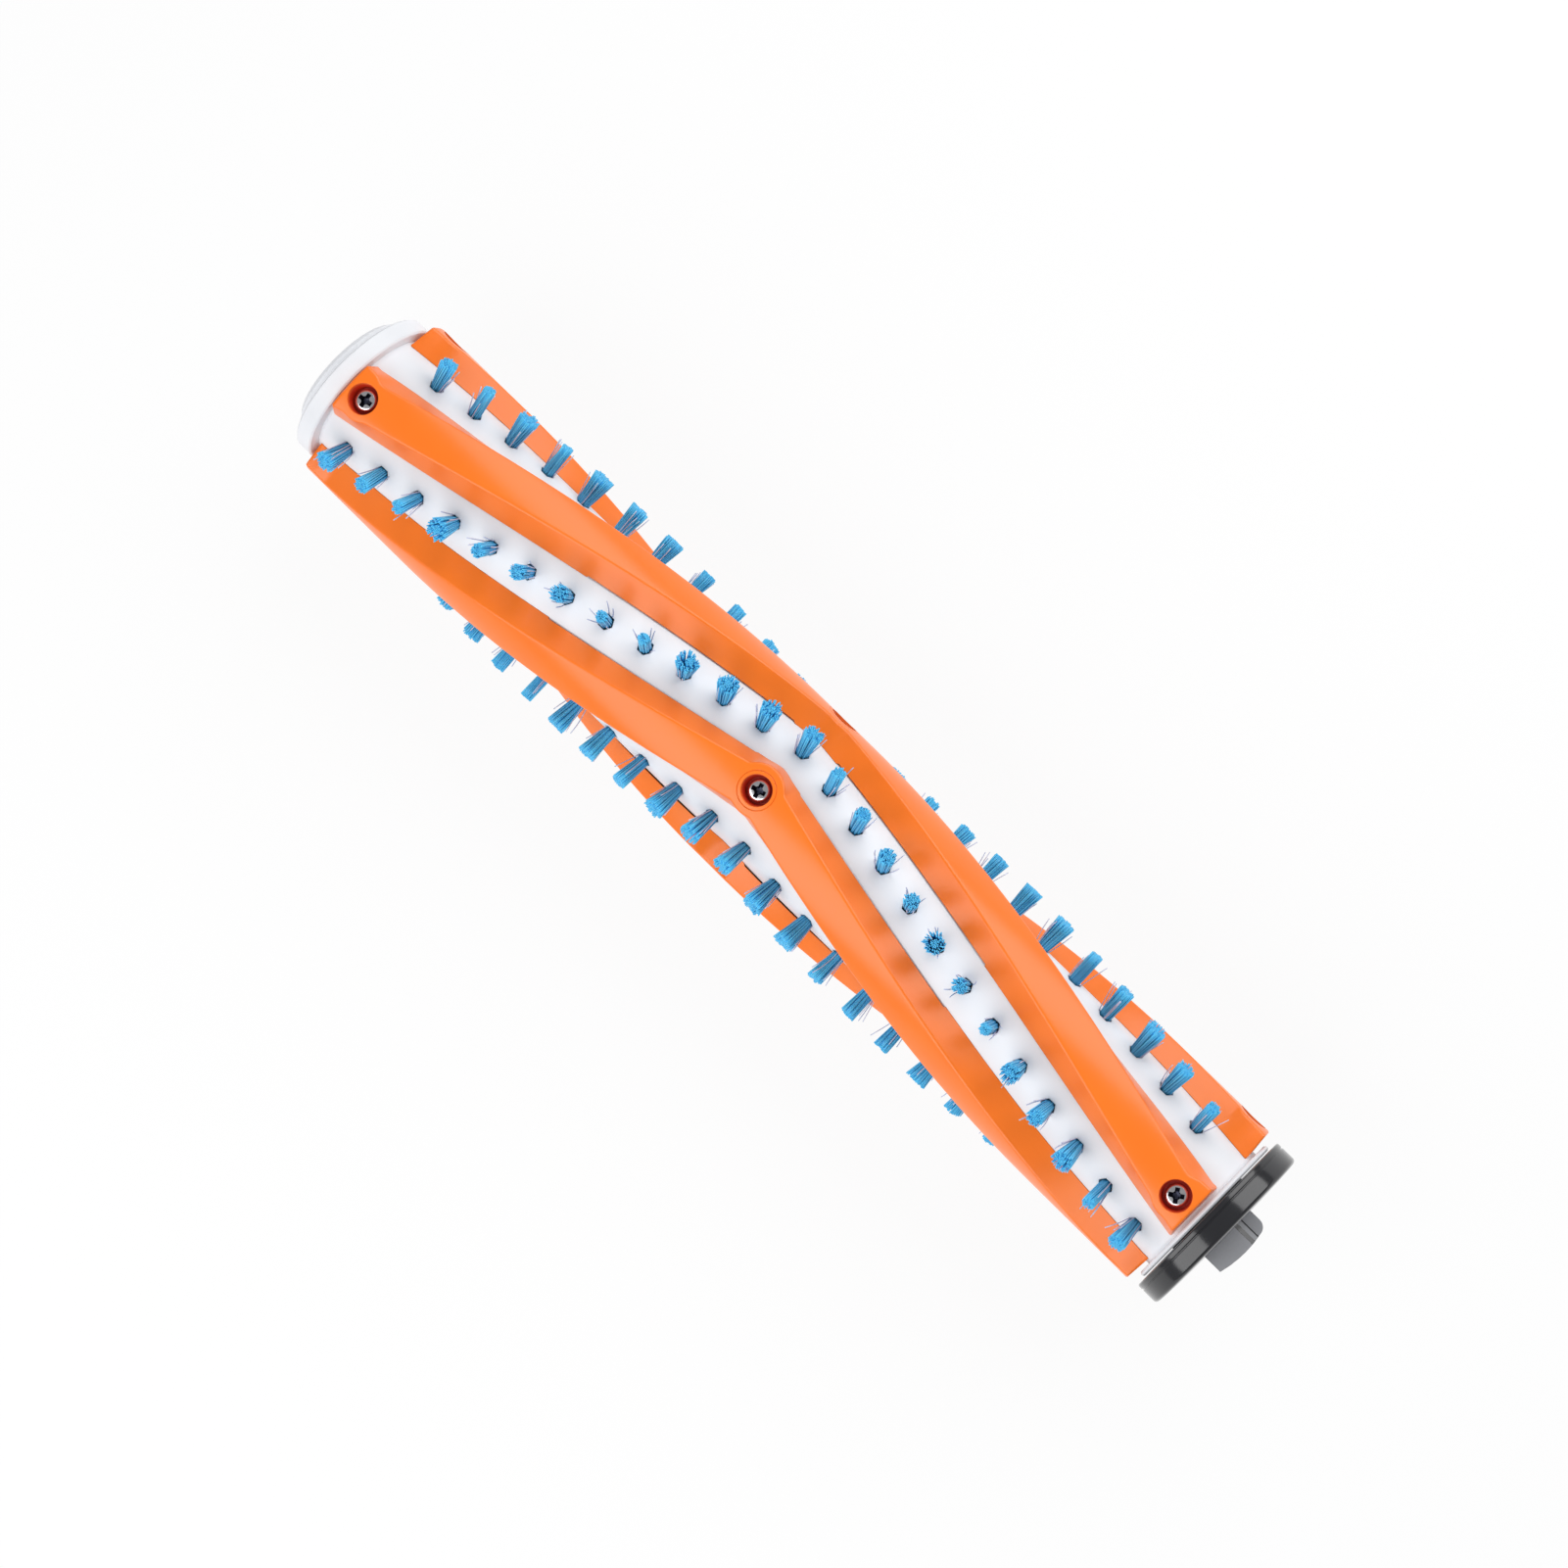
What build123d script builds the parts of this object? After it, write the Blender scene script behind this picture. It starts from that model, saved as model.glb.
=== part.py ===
"""Roller brush of a vacuum cleaner head.

A white moulded core carries four screwed-on chevron bars and four rows of bristle tufts. A splined
coupling drives it at one end. At the other its steel axle turns in a bush inside a black end cap,
whose key is held still by the cleaner head. Millimetres. X is the spin axis, from the drive face.
"""
import os
from math import atan, copysign, cos, degrees, floor, pi, radians, sin, sqrt

from build123d import *

# Core: a tube with a flange at each end and the tuft strips between them
core_radius = 16.2
core_bore_radius = 9.4
strip_length = 255.5
flange_radius = 19.0
drive_flange_thickness = 4.4
cap_flange_thickness = 1.2
flange_edge_bevel = 0.4

# Chevron winding that the bars and the tuft rows share: the lead is the length of one whole turn
bar_count = 4
chevron_lead = 500.0
roller_phase = -7.4

# Chevron bars
bar_end_gap = 0.85
bar_height = 5.4
bar_ridge_half_width = 4.65
bar_foot_half_width = 6.5
bar_bedding_gap = 0.05
bar_relief_gap = 0.4
bar_relief_reach = 60.0
bar_end_lean = 1.0
bar_blank_spare = 1.0

# Screw bosses of a bar, one at its apex and one near each end
boss_end_margin = 4.9
boss_top_radius = 5.9
boss_draft = 6.0

# Pan head screws and their wells in the bars
well_floor_radius = 3.0
well_draft = 7.5
screw_seat_thickness = 1.45
screw_head_radius = 2.5
screw_head_height = 1.9
screw_head_sides = 12
screw_head_draft = 12.0
screw_shank_radius = 1.45
screw_shank_sides = 6
screw_hole_clearance = 0.25
screw_pilot_clearance = 0.05
screw_pilot_spare = 0.2
screw_pilot_wall = 0.7

# Bristle tufts
tuft_pitch = 10.0
tuft_end_margin = 7.0
tuft_sides = 6
tuft_root_radius = 1.5
tuft_tip_radius = 2.1
tuft_height = 7.8
tuft_floor_wall = 0.8
tuft_socket_radius = 1.85

# Splined drive coupling
coupling_disc_radius = 15.3
coupling_disc_thickness = 3.1
coupling_disc_bevel = 0.9
coupling_spigot_length = 14.0
socket_radius = 5.5
socket_depth = 12.0
spline_count = 3
spline_width = 2.4
spline_depth = 1.8
lug_count = 4
lug_width = 4.0
lug_reach = 12.5
lug_depth = 3.4

# Steel axle and the plug that grips it
plug_length = 26.0
plug_head_radius = 11.0
plug_head_thickness = 3.0
plug_hub_radius = 4.2
axle_radius = 2.5
axle_grip_length = 22.0
axle_tip_length = 0.4

# Bearing bush, its two thrust washers and the retaining ring
bush_radius = 5.0
bush_length = 3.0
bush_axial_play = 0.1
bush_running_clearance = 0.04
washer_radius = 3.9
washer_thickness = 0.4
ring_radius = 3.9
ring_thickness = 0.5
ring_groove_depth = 0.5
ring_mouth_width = 3.0

# End cap
cap_radius = 21.1
cap_face_wall = 0.9
cap_edge_bevel = 1.0
cap_running_gap = 0.3
cap_recess_clearance = 0.4
cap_recess_spare = 0.2

# Key on the end cap
key_half_width = 6.85
key_thickness = 8.0
key_height = 5.2
key_end_crown = 0.9
key_corner_round = 2.2
key_step_start = 3.0
key_step_run = 1.6
key_step_drop = 0.9

# Felt dust seal, sunk in the cap's inner face
seal_inner_radius = 6.2
seal_outer_radius = 10.4
seal_seat_depth = 1.2
seal_stand_out = 0.25

# Clearances of pieces that are pressed or pushed together
press_clearance = 0.02
push_clearance = 0.05

# Stations along the spin axis
drive_flange_x = coupling_disc_thickness
strip_start_x = drive_flange_x + drive_flange_thickness
apex_x = strip_start_x + strip_length / 2
strip_end_x = strip_start_x + strip_length
core_end_x = strip_end_x + cap_flange_thickness
cap_x = core_end_x + cap_running_gap
bush_x = cap_x + washer_thickness + bush_axial_play
bush_end_x = bush_x + bush_length
ring_x = bush_end_x + bush_axial_play + washer_thickness
ring_end_x = ring_x + ring_thickness
axle_end_x = ring_end_x + axle_tip_length
cap_recess_x = axle_end_x + cap_recess_spare
cap_face_x = cap_recess_x + cap_face_wall
key_tip_x = cap_face_x + key_height

# Heights above the spin axis
bar_underside = core_radius + bar_bedding_gap
bar_top_radius = core_radius + bar_height
well_floor_height = bar_underside + screw_seat_thickness
pilot_floor_height = core_bore_radius + screw_pilot_wall
tuft_floor_height = core_bore_radius + tuft_floor_wall

# Places along and round the chevrons
bar_step = 360 / bar_count
bar_half_length = strip_length / 2 - bar_end_gap
boss_reach = bar_half_length - boss_end_margin
end_offsets = (-boss_reach, boss_reach)
screw_offsets = (-boss_reach, 0, boss_reach)
apex_plane = Plane.YZ.offset(apex_x)


def winding_angle(distance, apex_angle):
    """Angle from straight up towards +Y, at a distance along the axis from a chevron's apex."""
    return apex_angle - 360 * abs(distance) / chevron_lead


def wound_plane(distance, apex_angle, height):
    """Plane on a chevron at a distance from its apex, facing outwards, its X towards the nearer end."""
    angle = radians(winding_angle(distance, apex_angle))
    outward = Vector(0, sin(angle), cos(angle))
    origin = Vector(apex_x + distance, 0, 0) + outward * height
    return Plane(origin=origin, x_dir=(copysign(1, distance), 0, 0), z_dir=outward)


def bar_angle(number):
    """Where a bar's apex stands round the axis."""
    return roller_phase + bar_step * number


def row_angle(number):
    """Where a tuft row's apex stands: midway between two bars."""
    return bar_angle(number) + bar_step / 2


def screw_planes(apex_angle, height):
    """Planes that face outwards at the three screws of a bar."""
    return [wound_plane(offset, apex_angle, height) for offset in screw_offsets]


def tuft_planes(number):
    """Planes at the foot of a row's tufts. Every second row is set half a pitch over."""
    gaps = floor((strip_length - 2 * tuft_end_margin) / tuft_pitch) - number % 2
    offsets = [(place - gaps / 2) * tuft_pitch for place in range(gaps + 1)]
    return [wound_plane(offset, row_angle(number), tuft_floor_height) for offset in offsets]


def finish(piece, name):
    """Label a finished piece and write it out."""
    piece.label = name
    export_step(piece, f"parts/{name}.step")


os.makedirs("parts", exist_ok=True)

# White moulded core, with a socket for each tuft and a pilot hole for each screw
with BuildPart() as core:
    with BuildSketch(Plane.XZ):
        with BuildLine():
            Polyline(
                (drive_flange_x, core_bore_radius),
                (drive_flange_x, flange_radius),
                (strip_start_x, flange_radius),
                (strip_start_x, core_radius),
                (strip_end_x, core_radius),
                (strip_end_x, flange_radius),
                (core_end_x, flange_radius),
                (core_end_x, plug_head_radius + press_clearance),
                (core_end_x - plug_head_thickness, plug_head_radius + press_clearance),
                (core_end_x - plug_head_thickness, core_bore_radius),
                close=True,
            )
        flange_corners = make_face().vertices().group_by(Axis.Y)[-1]
        chamfer(flange_corners, flange_edge_bevel)
    revolve(axis=Axis.X)
    with BuildSketch(Plane.YZ.offset(drive_flange_x)):
        with PolarLocations(0, lug_count):
            Rectangle(
                lug_reach + push_clearance,
                lug_width + 2 * push_clearance,
                align=(Align.MIN, Align.CENTER),
            )
    extrude(amount=lug_depth + push_clearance, mode=Mode.SUBTRACT)
    for number in range(bar_count):
        with BuildSketch(*screw_planes(bar_angle(number), pilot_floor_height)):
            RegularPolygon(screw_shank_radius + screw_pilot_clearance, screw_shank_sides)
        extrude(amount=core_radius, mode=Mode.SUBTRACT)
        with BuildSketch(*tuft_planes(number)):
            RegularPolygon(tuft_socket_radius, tuft_sides)
        extrude(amount=core_radius, mode=Mode.SUBTRACT)
finish(core.part, "core")

# Bristle tufts, narrow at the fold in the socket and flared to the tip
tuft_length = core_radius + tuft_height - tuft_floor_height
tuft_widening = (tuft_tip_radius - tuft_root_radius) * cos(pi / tuft_sides)
tuft_flare = degrees(atan(tuft_widening / tuft_length))
for number in range(bar_count):
    with BuildPart() as tuft_row:
        with BuildSketch(*tuft_planes(number)):
            RegularPolygon(tuft_root_radius, tuft_sides)
        extrude(amount=tuft_length, taper=-tuft_flare)
    finish(tuft_row.part, f"tuft_row_{number + 1}")

# Half a bar's blank: a tapered section, wound round the axis from the apex to the bar's end
bar_foot_height = sqrt(bar_underside**2 - bar_foot_half_width**2)
bar_ridge_height = sqrt(bar_top_radius**2 - bar_ridge_half_width**2)
flank_slope = (bar_foot_half_width - bar_ridge_half_width) / (bar_ridge_height - bar_foot_height)
blank_top = bar_top_radius + bar_blank_spare
blank_bottom = bar_foot_height - bar_blank_spare
blank_top_half_width = bar_ridge_half_width - flank_slope * (blank_top - bar_ridge_height)
blank_bottom_half_width = bar_foot_half_width + flank_slope * (bar_foot_height - blank_bottom)
with BuildSketch(apex_plane) as blank_section:
    with BuildLine():
        Polyline(
            (-blank_bottom_half_width, blank_bottom),
            (-blank_top_half_width, blank_top),
            (blank_top_half_width, blank_top),
            (blank_bottom_half_width, blank_bottom),
            close=True,
        )
    make_face()
wound_half = Solid.extrude_linear_with_rotation(
    blank_section.sketch.face(),
    center=(apex_x, 0, 0),
    normal=(bar_half_length, 0, 0),
    angle=-winding_angle(bar_half_length, 0),
)

# Orange chevron bar: bedded on the core, relieved under its middle, with drafted bosses and leaning ends
with BuildPart() as bar:
    add(wound_half)
    mirror(about=apex_plane)
    with BuildSketch(apex_plane):
        Circle(core_radius + bar_relief_gap)
    extrude(amount=bar_relief_reach, both=True, mode=Mode.SUBTRACT)
    with BuildSketch(wound_plane(0, 0, blank_top)):
        Circle(boss_top_radius)
    extrude(amount=core_bore_radius - blank_top, taper=-boss_draft)
    with BuildSketch(*[wound_plane(offset, 0, blank_top) for offset in end_offsets]):
        Circle(boss_top_radius)
        Rectangle(2 * boss_end_margin, 2 * boss_top_radius, align=(Align.MIN, Align.CENTER))
    extrude(amount=core_bore_radius - blank_top, taper=-boss_draft)
    with BuildSketch(apex_plane):
        Circle(bar_top_radius)
        Circle(bar_underside, mode=Mode.SUBTRACT)
    extrude(amount=bar_half_length, both=True, mode=Mode.INTERSECT)
    with BuildSketch(Plane.XZ.shift_origin((apex_x, 0, 0))):
        with BuildLine():
            Polyline(
                (bar_half_length, core_radius),
                (bar_half_length - bar_end_lean, blank_top),
                (bar_half_length + bar_end_lean, blank_top),
                (bar_half_length + bar_end_lean, core_radius),
                close=True,
            )
        make_face()
        mirror(about=Plane.YZ)
    revolve(axis=Axis.X, mode=Mode.SUBTRACT)
    with BuildSketch(*screw_planes(0, well_floor_height)):
        Circle(well_floor_radius)
    extrude(amount=bar_height, taper=-well_draft, mode=Mode.SUBTRACT)
    with BuildSketch(*screw_planes(0, well_floor_height)):
        Circle(screw_shank_radius + screw_hole_clearance)
    extrude(amount=-bar_height, mode=Mode.SUBTRACT)
for number in range(bar_count):
    finish(bar.part.rotate(Axis.X, -bar_angle(number)), f"chevron_bar_{number + 1}")

# Pan head screw, standing on the plane that its head seats on
screw_shank_length = well_floor_height - pilot_floor_height - screw_pilot_spare
with BuildPart() as screw:
    with BuildSketch():
        RegularPolygon(screw_head_radius, screw_head_sides)
    extrude(amount=screw_head_height, taper=screw_head_draft)
    with BuildSketch():
        RegularPolygon(screw_shank_radius, screw_shank_sides)
    extrude(amount=-screw_shank_length)
with BuildPart() as bar_screws:
    for number in range(bar_count):
        with Locations(*screw_planes(bar_angle(number), well_floor_height)):
            add(screw.part)
finish(bar_screws.part, "bar_screws")

# White drive coupling: a disc on the core's end, a spigot in its bore, lugs between and a splined socket
with BuildPart() as drive_coupling:
    with BuildSketch(Plane.YZ):
        Circle(coupling_disc_radius)
    extrude(amount=coupling_disc_thickness)
    chamfer(drive_coupling.faces().sort_by(Axis.X)[0].edges(), coupling_disc_bevel)
    with BuildSketch(Plane.YZ.offset(drive_flange_x)):
        Circle(core_bore_radius - push_clearance)
    extrude(amount=coupling_spigot_length)
    with BuildSketch(Plane.YZ.offset(drive_flange_x)):
        with PolarLocations(0, lug_count):
            Rectangle(lug_reach, lug_width, align=(Align.MIN, Align.CENTER))
    extrude(amount=lug_depth)
    with BuildSketch(Plane.YZ):
        Circle(socket_radius)
        with PolarLocations(0, spline_count):
            Rectangle(socket_radius + spline_depth, spline_width, align=(Align.MIN, Align.CENTER))
    extrude(amount=socket_depth, mode=Mode.SUBTRACT)
finish(drive_coupling.part, "drive_coupling")

# Plug in the core's other end, with a hub that stands out to the washer
with BuildPart() as axle_plug:
    with BuildSketch(Plane.YZ.offset(core_end_x)):
        Circle(core_bore_radius - press_clearance)
    extrude(amount=-plug_length)
    with BuildSketch(Plane.YZ.offset(core_end_x)):
        Circle(plug_head_radius)
    extrude(amount=-plug_head_thickness)
    with BuildSketch(Plane.YZ.offset(core_end_x)):
        Circle(plug_hub_radius)
    extrude(amount=cap_running_gap)
    with BuildSketch(Plane.YZ.offset(cap_x)):
        Circle(axle_radius + press_clearance)
    extrude(amount=-axle_grip_length, mode=Mode.SUBTRACT)
finish(axle_plug.part, "axle_plug")

# Steel axle with a groove for the retaining ring
with BuildPart() as axle:
    with BuildSketch(Plane.YZ.offset(cap_x - axle_grip_length)):
        Circle(axle_radius)
    extrude(amount=axle_end_x - cap_x + axle_grip_length)
    chamfer(axle.faces().sort_by(Axis.X)[-1].edges(), axle_tip_length / 2)
    with BuildSketch(Plane.YZ.offset(ring_x)):
        Circle(axle_radius)
        Circle(axle_radius - ring_groove_depth, mode=Mode.SUBTRACT)
    extrude(amount=ring_thickness, mode=Mode.SUBTRACT)
finish(axle.part, "axle")

# Sintered bronze bush, pressed into the cap
with BuildPart() as bearing_bush:
    with BuildSketch(Plane.YZ.offset(bush_x)):
        Circle(bush_radius)
        Circle(axle_radius + bush_running_clearance, mode=Mode.SUBTRACT)
    extrude(amount=bush_length)
finish(bearing_bush.part, "bearing_bush")

# Thrust washers on the axle, one on each side of the bush
for name, washer_x in (("inner_washer", cap_x), ("outer_washer", ring_x - washer_thickness)):
    with BuildPart() as washer:
        with BuildSketch(Plane.YZ.offset(washer_x)):
            Circle(washer_radius)
            Circle(axle_radius + push_clearance, mode=Mode.SUBTRACT)
        extrude(amount=washer_thickness)
    finish(washer.part, name)

# Spring steel retaining ring, snapped into the axle's groove
with BuildPart() as retaining_ring:
    with BuildSketch(Plane.YZ.offset(ring_x)):
        Circle(ring_radius)
        Circle(axle_radius - ring_groove_depth + press_clearance, mode=Mode.SUBTRACT)
        Rectangle(ring_mouth_width, 2 * ring_radius, align=(Align.CENTER, Align.MIN), mode=Mode.SUBTRACT)
    extrude(amount=ring_thickness)
finish(retaining_ring.part, "retaining_ring")

# Felt ring that keeps dust and hair off the bush
with BuildPart() as dust_seal:
    with BuildSketch(Plane.YZ.offset(cap_x + seal_seat_depth)):
        Circle(seal_outer_radius - push_clearance)
        Circle(seal_inner_radius, mode=Mode.SUBTRACT)
    extrude(amount=-seal_seat_depth - seal_stand_out)
finish(dust_seal.part, "dust_seal")

# Black end cap: a thick disc with a bevelled rim, and the key that the cleaner head holds
with BuildPart() as end_cap:
    with BuildSketch(Plane.YZ.offset(cap_x)):
        Circle(cap_radius)
    extrude(amount=cap_face_x - cap_x)
    chamfer(end_cap.faces().sort_by(Axis.X)[-1].edges(), cap_edge_bevel)
    with BuildSketch(Plane.XY):
        with BuildLine():
            Polyline(
                (key_tip_x - key_end_crown, -key_half_width),
                (cap_face_x, -key_half_width),
                (cap_face_x, key_half_width),
                (key_tip_x - key_end_crown, key_half_width),
            )
            ThreePointArc(
                (key_tip_x - key_end_crown, -key_half_width),
                (key_tip_x, 0),
                (key_tip_x - key_end_crown, key_half_width),
            )
        key_corner = make_face().vertices().group_by(Axis.Y)[-1].sort_by(Axis.X)[-1]
        fillet(key_corner, key_corner_round)
    extrude(amount=key_thickness / 2, both=True)
    with BuildSketch(Plane.YZ.offset(cap_face_x)):
        with BuildLine():
            Polyline(
                (key_step_start, key_thickness / 2),
                (key_step_start + key_step_run, key_thickness / 2 - key_step_drop),
                (2 * key_half_width, key_thickness / 2 - key_step_drop),
                (2 * key_half_width, key_thickness),
                (key_step_start, key_thickness),
                close=True,
            )
        make_face()
        mirror(about=Plane.XZ)
    extrude(amount=key_height, mode=Mode.SUBTRACT)
    with BuildSketch(Plane.YZ.offset(cap_x)):
        Circle(seal_outer_radius)
    extrude(amount=seal_seat_depth, mode=Mode.SUBTRACT)
    with BuildSketch(Plane.YZ.offset(cap_x)):
        Circle(bush_radius + press_clearance)
    extrude(amount=bush_end_x - cap_x, mode=Mode.SUBTRACT)
    with BuildSketch(Plane.YZ.offset(bush_end_x)):
        Circle(washer_radius + cap_recess_clearance)
    extrude(amount=cap_recess_x - bush_end_x, mode=Mode.SUBTRACT)
finish(end_cap.part, "end_cap")
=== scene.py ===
"""Roller brush of a vacuum cleaner head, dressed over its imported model. Metres, in the model's frame."""
import random
from math import cos, pi, radians, sin, sqrt, tau

import bmesh
import bpy
from mathutils import Matrix, Vector


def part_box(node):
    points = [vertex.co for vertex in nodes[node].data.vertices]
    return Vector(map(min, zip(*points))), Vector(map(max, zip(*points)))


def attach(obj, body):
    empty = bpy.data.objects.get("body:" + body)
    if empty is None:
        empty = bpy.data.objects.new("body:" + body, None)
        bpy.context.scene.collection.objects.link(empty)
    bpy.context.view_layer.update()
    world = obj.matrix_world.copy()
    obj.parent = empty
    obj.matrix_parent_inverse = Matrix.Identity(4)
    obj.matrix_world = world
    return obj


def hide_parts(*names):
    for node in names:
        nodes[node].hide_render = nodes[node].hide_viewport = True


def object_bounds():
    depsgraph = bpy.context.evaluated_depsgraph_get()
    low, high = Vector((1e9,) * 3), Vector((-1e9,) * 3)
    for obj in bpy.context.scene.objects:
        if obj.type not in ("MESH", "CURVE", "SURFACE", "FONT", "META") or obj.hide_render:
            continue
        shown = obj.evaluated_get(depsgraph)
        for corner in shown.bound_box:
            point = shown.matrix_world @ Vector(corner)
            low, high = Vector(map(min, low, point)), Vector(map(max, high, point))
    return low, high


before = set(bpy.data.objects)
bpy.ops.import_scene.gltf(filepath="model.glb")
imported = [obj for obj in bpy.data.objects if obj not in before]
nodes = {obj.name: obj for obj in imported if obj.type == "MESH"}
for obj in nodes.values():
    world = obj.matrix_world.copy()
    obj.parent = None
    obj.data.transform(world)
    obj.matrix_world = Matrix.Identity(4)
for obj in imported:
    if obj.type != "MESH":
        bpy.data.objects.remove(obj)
cad_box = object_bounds()


# Core, drive coupling and axle plug
# The core is one long injection moulding in white ABS, with a flange at each end. The coupling and
# the plug are smaller mouldings of the same plastic, pushed into its two ends.
class Paint:
    """A place in a finish's node tree. Sums written with it add Math nodes to the tree."""

    def __init__(self, tree, socket=None):
        self.tree = tree
        self.socket = socket

    def node(self, kind, settings=None, sockets=None, out=0):
        """Adds a node: its settings first, then the values or links of its sockets."""
        made = self.tree.nodes.new(kind)
        for name, value in (settings or {}).items():
            setattr(made, name, value)
        for name, value in (sockets or {}).items():
            if isinstance(value, Paint):
                self.tree.links.new(value.socket, made.inputs[name])
            else:
                made.inputs[name].default_value = value
        return Paint(self.tree, made.outputs[out] if made.outputs else None)

    def maths(self, operation, left, right):
        return self.node("ShaderNodeMath", {"operation": operation}, {0: left, 1: right})

    def __add__(self, other):
        return self.maths("ADD", self, other)

    def __radd__(self, other):
        return self.maths("ADD", other, self)

    def __sub__(self, other):
        return self.maths("SUBTRACT", self, other)

    def __rsub__(self, other):
        return self.maths("SUBTRACT", other, self)

    def __mul__(self, other):
        return self.maths("MULTIPLY", self, other)

    def __rmul__(self, other):
        return self.maths("MULTIPLY", other, self)

    def __truediv__(self, other):
        return self.maths("DIVIDE", self, other)

    def __rtruediv__(self, other):
        return self.maths("DIVIDE", other, self)

    def blend(self, low, high):
        """Goes from one colour to another as this value goes from 0 to 1."""
        return self.node(
            "ShaderNodeMix", {"data_type": "RGBA"}, {"Factor": self, "A": low, "B": high}, out="Result"
        )


def new_finish(name):
    """A material with an empty node tree, and the paint that its nodes start from."""
    material = bpy.data.materials.new(name)
    material.use_nodes = True
    material.node_tree.nodes.clear()
    return material, Paint(material.node_tree)


def grain(paint, scale, detail=3.0):
    """A cloudy value between 0 and 1 over the surface, with so many clouds to the metre."""
    spot = paint.node("ShaderNodeTexCoord", out="Object")
    return paint.node("ShaderNodeTexNoise", {}, {"Vector": spot, "Scale": scale, "Detail": detail})


def moulded_normal(paint, edge_radius, height, strength, depth=0.0002):
    """The surface's own normal, softened at its edges and roughened by a height."""
    soft_edge = paint.node("ShaderNodeBevel", {"samples": 6}, {"Radius": edge_radius})
    return paint.node(
        "ShaderNodeBump", {}, {"Height": height, "Strength": strength, "Distance": depth, "Normal": soft_edge}
    )


def white_plastic():
    """Satin white ABS, a little blue, with the faint flow marks of a large moulding."""
    material, paint = new_finish("white_moulding")
    clouds = grain(paint, 55.0)
    skin = grain(paint, 2600.0, 2.0)
    shader = paint.node("ShaderNodeBsdfPrincipled", {}, {
        "Base Color": clouds.blend((0.74, 0.76, 0.80, 1), (0.83, 0.84, 0.87, 1)),
        "Roughness": 0.3 + 0.14 * clouds + 0.05 * skin,
        "Normal": moulded_normal(paint, 0.0003, skin, 0.06),
        "IOR": 1.5,
    })
    paint.node("ShaderNodeOutputMaterial", {}, {"Surface": shader})
    return material


def dress(name, material):
    """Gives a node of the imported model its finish."""
    mesh = nodes[name].data
    mesh.materials.clear()
    mesh.materials.append(material)


white = white_plastic()
for moulding in ("core", "drive_coupling", "axle_plug"):
    dress(moulding, white)


# Bearing
# A steel axle turns in a sintered bronze bush between two thrust washers, with a retaining ring on
# its end. A felt ring in the cap keeps dust and hair away from them.
def metal(name, low, high, roughness):
    """Bare metal with the fine marks of turning."""
    material, paint = new_finish(name)
    marks = grain(paint, 1800.0)
    shader = paint.node("ShaderNodeBsdfPrincipled", {}, {
        "Base Color": marks.blend(low, high),
        "Metallic": 1.0,
        "Roughness": roughness - 0.06 + 0.12 * marks,
    })
    paint.node("ShaderNodeOutputMaterial", {}, {"Surface": shader})
    return material


def grey_felt():
    """Pressed wool felt, matte and flecked."""
    material, paint = new_finish("grey_felt")
    flecks = grain(paint, 3500.0, 6.0)
    shader = paint.node("ShaderNodeBsdfPrincipled", {}, {
        "Base Color": flecks.blend((0.16, 0.16, 0.17, 1), (0.4, 0.4, 0.41, 1)),
        "Roughness": 0.85 + 0.1 * flecks,
        "Sheen Weight": 0.3,
    })
    paint.node("ShaderNodeOutputMaterial", {}, {"Surface": shader})
    return material


steel = metal("bright_steel", (0.5, 0.5, 0.52, 1), (0.62, 0.62, 0.64, 1), 0.3)
for turned in ("axle", "inner_washer", "outer_washer", "retaining_ring"):
    dress(turned, steel)
dress("bearing_bush", metal("sintered_bronze", (0.42, 0.25, 0.1, 1), (0.6, 0.4, 0.2, 1), 0.5))
dress("dust_seal", grey_felt())


# Chevron bars
# Each bar is one moulding in orange ABS that winds round the core from an apex at its middle. A boss
# stands round each of its three screw wells, the largest at the apex, and an ear squares off each end.
apex_x = (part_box("chevron_bar_1")[0].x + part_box("chevron_bar_1")[1].x) / 2
bar_count = 4
roller_phase = -7.4
twist_per_metre = 720.0
bar_half_length = 0.1269
bar_top_radius = 0.0216
bar_underside = 0.01625
bar_ridge_half_width = 0.00465
bar_foot_half_width = 0.0065
bar_ridge_rounding = 0.0005
bar_ridge_steps = 6
bar_relief = 0.00035
bar_relief_reach = 0.060
bar_end_lean = 0.0004
bar_lean_length = 0.003
bar_end_rounding = 0.0003
end_screw_offset = 0.1220
screw_offsets = (-end_screw_offset, 0, end_screw_offset)
boss_top_radius = 0.0060
boss_foot_radius = 0.0064
end_boss_top_radius = 0.0051
end_boss_foot_radius = 0.0060
boss_fillet = 0.0005
ear_top_width = 0.0059
ear_foot_width = 0.0067
ear_start = -0.0010
ear_full = 0.0018
foot_flare = 0.0009
foot_flare_start = 0.088
# Outlines along half a bar, stretch by stretch: where each starts, its step and its count.
bar_stretches = (
    (0, 0.00045, 21), (0.0095, 0.0025, 20), (0.0585, 0, 1), (0.0599, 0.0002, 2), (0.062, 0.0025, 21),
    (0.1135, 0.00045, 30),
)
well_floor_height = 0.0177
well_floor_radius = 0.0030
well_mouth_radius = 0.0037
well_mouth_height = 0.0230
well_sides = 72
# Below this distance from the axis, a well's walls are painted fully in shade.
well_painted_shade_height = 0.0202
well_lowest = 0.0175
well_highest = 0.0212
well_ring_radius = 0.0043
well_ring_width = 0.00044
well_ring_depth = 0.0002
well_ring_sides = 96


def outward_at(offset, apex_angle):
    """Direction away from the axis, at an offset along the axis from a chevron's apex."""
    angle = radians(apex_angle - twist_per_metre * abs(offset))
    return Vector((0, sin(angle), cos(angle)))


def soft_max(one, other, fillet):
    """The larger of two widths, with a fillet where they cross."""
    share = min(1, max(0, 0.5 + (one - other) / (2 * fillet)))
    return other + (one - other) * share + fillet * share * (1 - share)


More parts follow.
